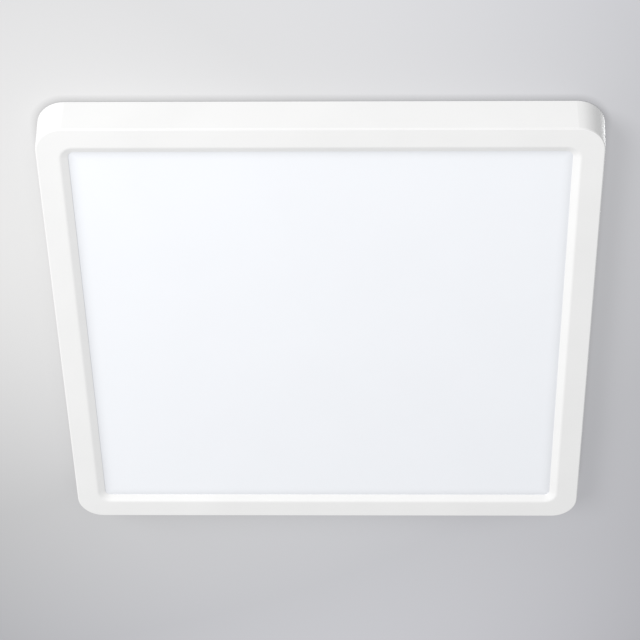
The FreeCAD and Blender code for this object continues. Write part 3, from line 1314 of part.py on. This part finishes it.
make_frame()
make_stack()
make_lighting("left", -1)
make_lighting("right", 1)
make_tray()
make_tray_screws()
make_rail_screws()
make_bracket()
make_cable_grommet()
make_clips()
make_driver()
make_terminal()
make_cable_clamp()
make_mains_leads()
make_led_leads()
make_lead_fittings()
make_saddles()
check_document()
write_parts()
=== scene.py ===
import math

import bpy
from mathutils import Matrix, Vector

# A square, shallow ceiling light seen from below. The ceiling is z = 0, the lamp hangs under it, in metres.

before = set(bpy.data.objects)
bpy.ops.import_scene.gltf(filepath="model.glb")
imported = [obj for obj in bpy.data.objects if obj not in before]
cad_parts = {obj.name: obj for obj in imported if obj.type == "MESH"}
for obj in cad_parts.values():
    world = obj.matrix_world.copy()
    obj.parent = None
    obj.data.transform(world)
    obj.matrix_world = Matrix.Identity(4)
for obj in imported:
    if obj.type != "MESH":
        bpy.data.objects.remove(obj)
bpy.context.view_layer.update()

MM = 0.001

# The camera's place, from a fit to the lamp's edges.
CAMERA_PLACE = Vector((0.03933, -1.26516, -1.3509))
CAMERA_YAW = math.radians(-1.912)
CAMERA_PITCH = math.radians(46.615)
CAMERA_ROLL = math.radians(1.366)
CAMERA_LENS = 137.93
SENSOR_WIDTH = 36

# The ceiling lies a little above the bracket and the frame.
CEILING_HEIGHT = 0.2 * MM
CEILING_SIZE = 6
# Its tone carries a painted pool of light that changes with the distance from one middle, and a painted
# falloff with the square of that from another.
POOL_MIDDLE = (-0.5, -0.067, 0)
POOL_SCALE = (1, 1.572, 0)
POOL_START = 0.264
POOL_END = 1.037
POOL_TONES = ((0.877, 0.874, 0.872), (0.733, 0.733, 0.742), (0.73, 0.733, 0.764), (0.892, 0.892, 0.943))
FALLOFF_MIDDLE = (-0.058, -0.326, 0)
FALLOFF_SCALE = (1, 0.439, 0)
FALLOFF_STRENGTH = 2.19
FALLOFF_FLOOR = 0.4
# The share of its tone that takes no cast shadow, and how brightly that share shows.
CEILING_GLOW = 0.56
CEILING_GLOW_STRENGTH = 0.974
# That share gets painted shade where the lamp is within this reach, most of all where it lies in this
# direction.
CORNER_DIRECTION = (0.15, 0.45, -0.8)
CORNER_REACH = 6 * MM
CORNER_FLOOR = 0.2
# It also gets a painted shadow on the lamp's far side, where less than this share of the space in this
# direction is open within a longer reach.
LEE_DIRECTION = (0.2, -1, -0.3)
LEE_REACH = 80 * MM
LEE_FLOOR = 0
LEE_OPEN_SHARE = 0.78

# The surroundings as they light the lamp, and as they look behind it and in its gloss.
FILL_COLOUR = (0.985, 0.99, 1, 1)
FILL_STRENGTH = 0.578
BACKDROP_COLOUR = (0.84, 0.845, 0.855, 1)
BACKDROP_STRENGTH = 1

# Square soft lights, all turned to the middle of the lamp: place, size, power and colour.
LIGHT_TARGET = Vector((0, 0, -15 * MM))
WARM_WHITE = (1, 0.998, 0.994)
COOL_WHITE = (0.99, 0.995, 1)
LIGHTS = {
    "key": (Vector((-0.95, -1.05, -1.5)), 1, 24.1, WARM_WHITE),
    "side": (Vector((-3.3, -3.5, -0.6)), 2, 81, WARM_WHITE),
    "back": (Vector((0.9, 1.15, 1.9)), 1.2, 24, COOL_WHITE),
}

# Most values of a noise texture lie between these two, so a finish varies over that range.
NOISE_LOW = 0.3
NOISE_HIGH = 0.7
# Noise of little, middling and much fine detail.
SOFT_DETAIL = 2
CLOUDY_DETAIL = 3
MOTTLED_DETAIL = 4

# Moulded plastic: the spread of its changes of tone and gloss, and how much rougher or smoother it gets.
PLASTIC_TONE_SIZE = 60 * MM
PLASTIC_GLOSS_SIZE = 25 * MM
PLASTIC_GLOSS_CHANGE = 0.04
PLASTICS = {
    "frame_white": dict(colour=(0.864, 0.862, 0.857), roughness=0.5),
    "diffuser_opal": dict(colour=(0.9, 0.917, 0.95), roughness=0.46, shade=0.99, height=0.001 * MM),
    "reflector_white": dict(colour=(0.9, 0.9, 0.9), roughness=0.2),
    "foam_grey": dict(colour=(0.3, 0.3, 0.3), roughness=0.9, grain=1 * MM, height=0.2 * MM),
    "board_white": dict(colour=(0.85, 0.86, 0.83), roughness=0.35),
    "led_yellow": dict(colour=(0.9, 0.72, 0.18), roughness=0.2),
    "bracket_steel": dict(colour=(0.8, 0.8, 0.79), roughness=0.42, grain=1.2 * MM, height=0.03 * MM),
    "driver_white": dict(colour=(0.82, 0.82, 0.81), roughness=0.5, grain=0.5 * MM, height=0.02 * MM),
    "circuit_green": dict(colour=(0.02, 0.16, 0.05), roughness=0.3),
    "ferrite_black": dict(colour=(0.03, 0.03, 0.033), roughness=0.55),
    "coil_tape": dict(colour=(0.75, 0.5, 0.04), roughness=0.35),
    "capacitor_sleeve": dict(colour=(0.01, 0.012, 0.03), roughness=0.25),
    "connector_white": dict(colour=(0.78, 0.78, 0.75), roughness=0.45),
    "terminal_grey": dict(colour=(0.56, 0.56, 0.54), roughness=0.45),
    "button_orange": dict(colour=(0.8, 0.2, 0.02), roughness=0.35),
    "clamp_black": dict(colour=(0.02, 0.02, 0.02), roughness=0.5),
    "lead_brown": dict(colour=(0.1, 0.035, 0.012), roughness=0.4),
    "lead_blue": dict(colour=(0.01, 0.07, 0.35), roughness=0.4),
    "lead_green": dict(colour=(0.02, 0.22, 0.03), roughness=0.4),
    "lead_white": dict(colour=(0.8, 0.8, 0.78), roughness=0.4),
    "bush_black": dict(colour=(0.02, 0.02, 0.02), roughness=0.7),
    "saddle_white": dict(colour=(0.8, 0.8, 0.8), roughness=0.45),
}

# Sheet metal: the spread of its changes of gloss, how much smoother and rougher it gets, and its fine relief.
METAL_GLOSS_SIZE = 12 * MM
METAL_SMOOTHER = 0.06
METAL_ROUGHER = 0.08
METAL_RELIEF_SHARE = 0.4
METAL_RELIEF_HEIGHT = 0.006 * MM
METALS = {
    "rail_aluminium": dict(colour=(0.75, 0.75, 0.76), roughness=0.35, along=(4, 0.1, 4)),
    "tray_steel": dict(colour=(0.62, 0.63, 0.65), roughness=0.38),
    "screw_steel": dict(colour=(0.62, 0.62, 0.6), roughness=0.3),
    "clip_steel": dict(colour=(0.36, 0.38, 0.42), roughness=0.32, along=(1, 6, 1)),
    "rivet_aluminium": dict(colour=(0.72, 0.72, 0.73), roughness=0.4),
    "contact_brass": dict(colour=(0.75, 0.55, 0.22), roughness=0.3),
    "lug_brass": dict(colour=(0.7, 0.66, 0.55), roughness=0.3),
}

# The light guide is clear acrylic with a faint wave.
GUIDE_COLOUR = (0.95, 0.98, 0.98)
GUIDE_ROUGHNESS = 0.05
GUIDE_CLARITY = 0.9
GUIDE_IOR = 1.49
GUIDE_WAVE_SIZE = 40 * MM
GUIDE_WAVE_HEIGHT = 0.002 * MM

# The diffuser gets painted shade towards the edge of the frame's window, where the frame's rim would shade
# it.
WINDOW_HALF = 176.6 * MM
EDGE_SHADE_REACH = 9 * MM
EDGE_SHADE_DEPTH = 0.15
EDGE_SHADE_CURVE = 2.2

# The frame's paint shines little. Its rounded outer edge gets painted shade that dims the bright line the
# lights draw there, most of all where the square of the normal's upward part is the middle value, and not at
# all past the span.
FRAME_SPECULAR = 0.2
ROUNDING_SHADE = 0.26
ROUNDING_MIDDLE = 0.5
ROUNDING_SPAN = 0.25

# The earth lead is green with a yellow stripe above and below, each as high as this share of its radius.
EARTH_STRIPE = 0.25
STRIPE_YELLOW = (0.75, 0.6, 0.03)


# Camera

def add_camera():
    """The camera stands at its place, turned by yaw, pitch and roll."""
    data = bpy.data.cameras.new("camera")
    data.lens = CAMERA_LENS
    data.sensor_width = SENSOR_WIDTH
    camera = bpy.data.objects.new("camera", data)
    bpy.context.scene.collection.objects.link(camera)
    forward = Vector((math.sin(CAMERA_YAW) * math.cos(CAMERA_PITCH),
                      math.cos(CAMERA_YAW) * math.cos(CAMERA_PITCH), math.sin(CAMERA_PITCH)))
    level_right = forward.cross(Vector((0, 0, 1))).normalized()
    level_up = level_right.cross(forward)
    right = level_right * math.cos(CAMERA_ROLL) + level_up * math.sin(CAMERA_ROLL)
    up = level_up * math.cos(CAMERA_ROLL) - level_right * math.sin(CAMERA_ROLL)
    turn = Matrix((right, up, -forward)).transposed().to_4x4()
    camera.matrix_world = Matrix.Translation(CAMERA_PLACE) @ turn
    bpy.context.scene.camera = camera


# Shader nodes

def connect(tree, term, socket):
    """Links a socket to another, or sets it to a value."""
    if isinstance(term, bpy.types.NodeSocket):
        tree.links.new(term, socket)
    else:
        socket.default_value = term


def add_node(tree, kind, operation=None, **inputs):
    """A new node, whose inputs, named with underscores, are linked to sockets or set to values."""
    node = tree.nodes.new("ShaderNode" + kind)
    if operation:
        node.operation = operation
    for name, term in inputs.items():
        connect(tree, term, node.inputs[name.replace("_", " ")])
    return node


def maths(tree, operation, *terms):
    """The result of an operation on terms, each of which is a socket or a number."""
    node = add_node(tree, "Math", operation)
    for socket, term in zip(node.inputs, terms):
        connect(tree, term, socket)
    return node.outputs["Value"]


def scaled(tree, colour, factor):
    """A colour times a factor."""
    return add_node(tree, "VectorMath", "SCALE", Vector=colour, Scale=factor).outputs["Vector"]


def mixed(tree, factor, first, second):
    """A shader between two others, by a factor."""
    node = add_node(tree, "MixShader", Fac=factor)
    tree.links.new(first, node.inputs[1])
    tree.links.new(second, node.inputs[2])
    return node.outputs["Shader"]


# Materials

class Finish:
    """A node material: a Principled shader and the textures that feed it."""

    def __init__(self, name, colour, roughness, metallic=0):
        self.material = bpy.data.materials.new(name)
        self.material.use_nodes = True
        self.tree = self.material.node_tree
        self.shader = self.tree.nodes["Principled BSDF"]
        self.coordinates = add_node(self.tree, "TexCoord").outputs["Object"]
        self.set(Base_Color=(*colour, 1), Roughness=roughness, Metallic=metallic)

    def set(self, **values):
        """Sets or links the shader's own sockets, named with underscores."""
        for name, value in values.items():
            connect(self.tree, value, self.shader.inputs[name.replace("_", " ")])
        return self

    def noise(self, size, detail, along=(1, 1, 1)):
        """Noise with features of about that size, drawn together along x, y and z by a scale for each."""
        place = add_node(self.tree, "Mapping", Vector=self.coordinates, Scale=along)
        texture = add_node(self.tree, "TexNoise", Vector=place.outputs["Vector"], Scale=1 / size,
                           Detail=detail)
        return texture.outputs["Fac"]

    def tint(self, factor, colour, shade):
        """Varies the base colour between a colour and a share of it."""
        darker = tuple(channel * shade for channel in colour)
        ramp = add_node(self.tree, "ValToRGB", Fac=factor)
        for stop, position, tone in zip(ramp.color_ramp.elements, (NOISE_LOW, NOISE_HIGH), (darker, colour)):
            stop.position = position
            stop.color = (*tone, 1)
        return self.set(Base_Color=ramp.outputs["Color"])

    def gloss(self, factor, low, high):
        """Varies the roughness between two values."""
        spread = add_node(self.tree, "MapRange", Value=factor, From_Min=NOISE_LOW, From_Max=NOISE_HIGH,
                          To_Min=low, To_Max=high)
        return self.set(Roughness=spread.outputs["Result"])

    def bump(self, factor, height):
        """Raises the surface by up to a height in metres."""
        relief = add_node(self.tree, "Bump", Strength=1, Distance=height, Height=factor)
        return self.set(Normal=relief.outputs["Normal"])

    def base_colour(self):
        """The socket that feeds the base colour."""
        return self.shader.inputs["Base Color"].links[0].from_socket

    def upward(self):
        """The upward part of the surface's normal."""
        normal = add_node(self.tree, "NewGeometry").outputs["Normal"]
        return add_node(self.tree, "SeparateXYZ", Vector=normal).outputs["Z"]

    def stripe(self, colour, width):
        """A stripe of another colour along the top and the bottom of a lying lead."""
        striped = maths(self.tree, "GREATER_THAN", maths(self.tree, "ABSOLUTE", self.upward()), 1 - width)
        choice = add_node(self.tree, "Mix")
        choice.data_type = "RGBA"
        for name, term in (("Factor", striped), ("A", self.base_colour()), ("B", (*colour, 1))):
            connect(self.tree, term, choice.inputs[name])
        return self.set(Base_Color=choice.outputs["Result"])

    def shade_by(self, shade):
        """Darkens the base colour by a share between 0 and 1."""
        kept = maths(self.tree, "SUBTRACT", 1, shade)
        return self.set(Base_Color=scaled(self.tree, self.base_colour(), kept))

    def shade_rounding(self, depth):
        """Paints shade on the base colour by up to a depth where the surface turns from upright to level."""
        levelness = maths(self.tree, "POWER", self.upward(), 2)
        away = maths(self.tree, "ABSOLUTE", maths(self.tree, "SUBTRACT", levelness, ROUNDING_MIDDLE))
        nearness = maths(self.tree, "SUBTRACT", 1, maths(self.tree, "DIVIDE", away, ROUNDING_SPAN))
        return self.shade_by(maths(self.tree, "MULTIPLY", maths(self.tree, "MAXIMUM", nearness, 0), depth))

    def shade_edges(self, half, reach, depth, curve):
        """Paints shade on the base colour towards the edges of a square, by up to a depth within a reach of
        them.
        """
        place = add_node(self.tree, "SeparateXYZ", Vector=self.coordinates).outputs
        x, y = (maths(self.tree, "ABSOLUTE", place[axis]) for axis in "XY")
        farther = maths(self.tree, "MAXIMUM", x, y)
        nearness = add_node(self.tree, "MapRange", Value=farther, From_Min=half - reach, From_Max=half)
        shade = maths(self.tree, "POWER", nearness.outputs["Result"], curve)
        return self.shade_by(maths(self.tree, "MULTIPLY", shade, depth))


def moulded(name, colour, roughness, grain=0.3 * MM, shade=0.97, height=0.004 * MM):
    """Moulded plastic or paint: a fine sparked texture, a little uneven in colour and gloss."""
    finish = Finish(name, colour, roughness)
    finish.tint(finish.noise(PLASTIC_TONE_SIZE, CLOUDY_DETAIL), colour, shade)
    finish.gloss(finish.noise(PLASTIC_GLOSS_SIZE, CLOUDY_DETAIL),
                 roughness - PLASTIC_GLOSS_CHANGE, roughness + PLASTIC_GLOSS_CHANGE)
    return finish.bump(finish.noise(grain, SOFT_DETAIL), height)


def sheet_metal(name, colour, roughness, along=(1, 1, 1), grain=1.2 * MM, shade=0.85):
    """Metal with drawn lines or mottled plating."""
    finish = Finish(name, colour, roughness, metallic=1)
    finish.tint(finish.noise(grain, MOTTLED_DETAIL, along), colour, shade)
    finish.gloss(finish.noise(METAL_GLOSS_SIZE, CLOUDY_DETAIL),
                 roughness - METAL_SMOOTHER, roughness + METAL_ROUGHER)
    return finish.bump(finish.noise(grain * METAL_RELIEF_SHARE, SOFT_DETAIL, along), METAL_RELIEF_HEIGHT)


def clear_acrylic(name):
    """Clear plastic with a faint wave."""
    finish = Finish(name, GUIDE_COLOUR, GUIDE_ROUGHNESS)
    finish.set(Transmission_Weight=GUIDE_CLARITY, IOR=GUIDE_IOR)
    return finish.bump(finish.noise(GUIDE_WAVE_SIZE, SOFT_DETAIL), GUIDE_WAVE_HEIGHT)


def make_materials():
    """One material for each slot of the record."""
    made = {slot: moulded(slot, **look) for slot, look in PLASTICS.items()}
    made.update({slot: sheet_metal(slot, **look) for slot, look in METALS.items()})
    made["guide_clear"] = clear_acrylic("guide_clear")
    # Painted shade on the diffuser towards the edges of the frame's window.
    made["diffuser_opal"].shade_edges(WINDOW_HALF, EDGE_SHADE_REACH, EDGE_SHADE_DEPTH, EDGE_SHADE_CURVE)
    # Painted shade on the frame's rounded outer edge, dimming the bright line the lights draw there.
    made["frame_white"].set(Specular_IOR_Level=FRAME_SPECULAR).shade_rounding(ROUNDING_SHADE)
    made["lead_green"].stripe(STRIPE_YELLOW, EARTH_STRIPE)
    return {slot: finish.material for slot, finish in made.items()}


def dress_nodes(materials):
    """Gives every node of the frame its slot's material."""
    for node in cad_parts.values():
        for held in node.material_slots:
            held.material = materials[held.material.name.split(".")[0]]


# Surroundings

def add_world():
    """Plain pale surroundings that light the lamp evenly from all round."""
    world = bpy.data.worlds.new("surroundings")
    bpy.context.scene.world = world
    world.use_nodes = True
    tree = world.node_tree
    tree.nodes.clear()
    path = add_node(tree, "LightPath").outputs
    reflected = maths(tree, "MAXIMUM", path["Is Glossy Ray"], path["Is Transmission Ray"])
    seen = maths(tree, "MAXIMUM", path["Is Camera Ray"], reflected)
    fill = add_node(tree, "Background", Color=FILL_COLOUR, Strength=FILL_STRENGTH)
    backdrop = add_node(tree, "Background", Color=BACKDROP_COLOUR, Strength=BACKDROP_STRENGTH)
    surface = mixed(tree, seen, fill.outputs["Background"], backdrop.outputs["Background"])
    add_node(tree, "OutputWorld", Surface=surface)


def scaled_distance(tree, middle, scale):
    """The distance of the object's coordinates from a middle, scaled apart along x and y."""
    shift = [-part * factor for part, factor in zip(middle, scale)]
    place = add_node(tree, "TexCoord").outputs["Object"]
    away = add_node(tree, "Mapping", Vector=place, Scale=scale, Location=shift).outputs["Vector"]
    return add_node(tree, "VectorMath", "LENGTH", Vector=away).outputs["Value"]


def ceiling_tone_and_painted_light(tree):
    """The ceiling's colour with painted light: a ramp over a painted pool of light, times a painted falloff.
    """
    pool = scaled_distance(tree, POOL_MIDDLE, POOL_SCALE)
    spread = add_node(tree, "MapRange", Value=pool, From_Min=POOL_START, From_Max=POOL_END)
    ramp = add_node(tree, "ValToRGB", Fac=spread.outputs["Result"])
    stops = ramp.color_ramp.elements
    last = len(POOL_TONES) - 1
    for index in range(1, last):
        stops.new(index / last)
    for stop, tone in zip(stops, POOL_TONES):
        stop.color = (*tone, 1)
    square = maths(tree, "POWER", scaled_distance(tree, FALLOFF_MIDDLE, FALLOFF_SCALE), 2)
    falloff = maths(tree, "SUBTRACT", 1, maths(tree, "MULTIPLY", square, FALLOFF_STRENGTH))
    return scaled(tree, ramp.outputs["Color"], maths(tree, "MAXIMUM", falloff, FALLOFF_FLOOR))


def openness(tree, direction, reach, floor, open_share=1):
    """From a floor up to 1, by how much of the space that way is open within a reach."""
    axis = add_node(tree, "CombineXYZ", **dict(zip("XYZ", Vector(direction).normalized())))
    gap = add_node(tree, "AmbientOcclusion", Distance=reach, Normal=axis.outputs["Vector"]).outputs["AO"]
    return add_node(tree, "MapRange", Value=gap, From_Max=open_share, To_Min=floor).outputs["Result"]


def make_ceiling_paint():
    """Paint that takes the lamp's shadow in part and glows with the rest of its tone under painted shade near
    the lamp and a painted shadow on its far side, and is clear from behind.
    """
    material = bpy.data.materials.new("ceiling_paint")
    material.use_nodes = True
    tree = material.node_tree
    tree.nodes.remove(tree.nodes["Principled BSDF"])
    tone = ceiling_tone_and_painted_light(tree)
    # Painted shade near the lamp and a painted shadow on its far side, on the glowing share.
    corner_shade = openness(tree, CORNER_DIRECTION, CORNER_REACH, CORNER_FLOOR)
    lee_shadow = openness(tree, LEE_DIRECTION, LEE_REACH, LEE_FLOOR, LEE_OPEN_SHARE)
    strength = maths(tree, "MULTIPLY", maths(tree, "MULTIPLY", corner_shade, lee_shadow), CEILING_GLOW_STRENGTH)
    paint = add_node(tree, "BsdfDiffuse", Color=tone).outputs["BSDF"]
    glow = add_node(tree, "Emission", Color=tone, Strength=strength).outputs["Emission"]
    clear = add_node(tree, "BsdfTransparent").outputs["BSDF"]
    behind = add_node(tree, "NewGeometry").outputs["Backfacing"]
    surface = mixed(tree, behind, mixed(tree, CEILING_GLOW, paint, glow), clear)
    tree.links.new(surface, tree.nodes["Material Output"].inputs["Surface"])
    return material


def add_ceiling():
    """A painted ceiling that is seen from below alone, so that the lamp's back shows from above."""
    half = CEILING_SIZE / 2
    corners = [(-half, -half, CEILING_HEIGHT), (-half, half, CEILING_HEIGHT),
               (half, half, CEILING_HEIGHT), (half, -half, CEILING_HEIGHT)]
    mesh = bpy.data.meshes.new("ceiling")
    mesh.from_pydata(corners, [], [(0, 1, 2, 3)])
    mesh.materials.append(make_ceiling_paint())
    ceiling = bpy.data.objects.new("ceiling", mesh)
    bpy.context.scene.collection.objects.link(ceiling)
    for kind in ("diffuse", "glossy", "transmission", "volume_scatter", "shadow"):
        setattr(ceiling, "visible_" + kind, False)


def add_light(name, place, size, power, colour):
    """A square soft light at a place, turned to the lamp and unseen by the camera."""
    data = bpy.data.lights.new(name, "AREA")
    data.size = size
    data.energy = power
    data.color = colour
    light = bpy.data.objects.new(name, data)
    bpy.context.scene.collection.objects.link(light)
    light.location = place
    light.rotation_mode = "QUATERNION"
    light.rotation_quaternion = (LIGHT_TARGET - place).to_track_quat("-Z", "Y")
    light.visible_camera = False


bpy.context.scene.view_settings.view_transform = "Standard"
add_camera()
add_world()
add_ceiling()
for light_name, light_values in LIGHTS.items():
    add_light(light_name, *light_values)
dress_nodes(make_materials())
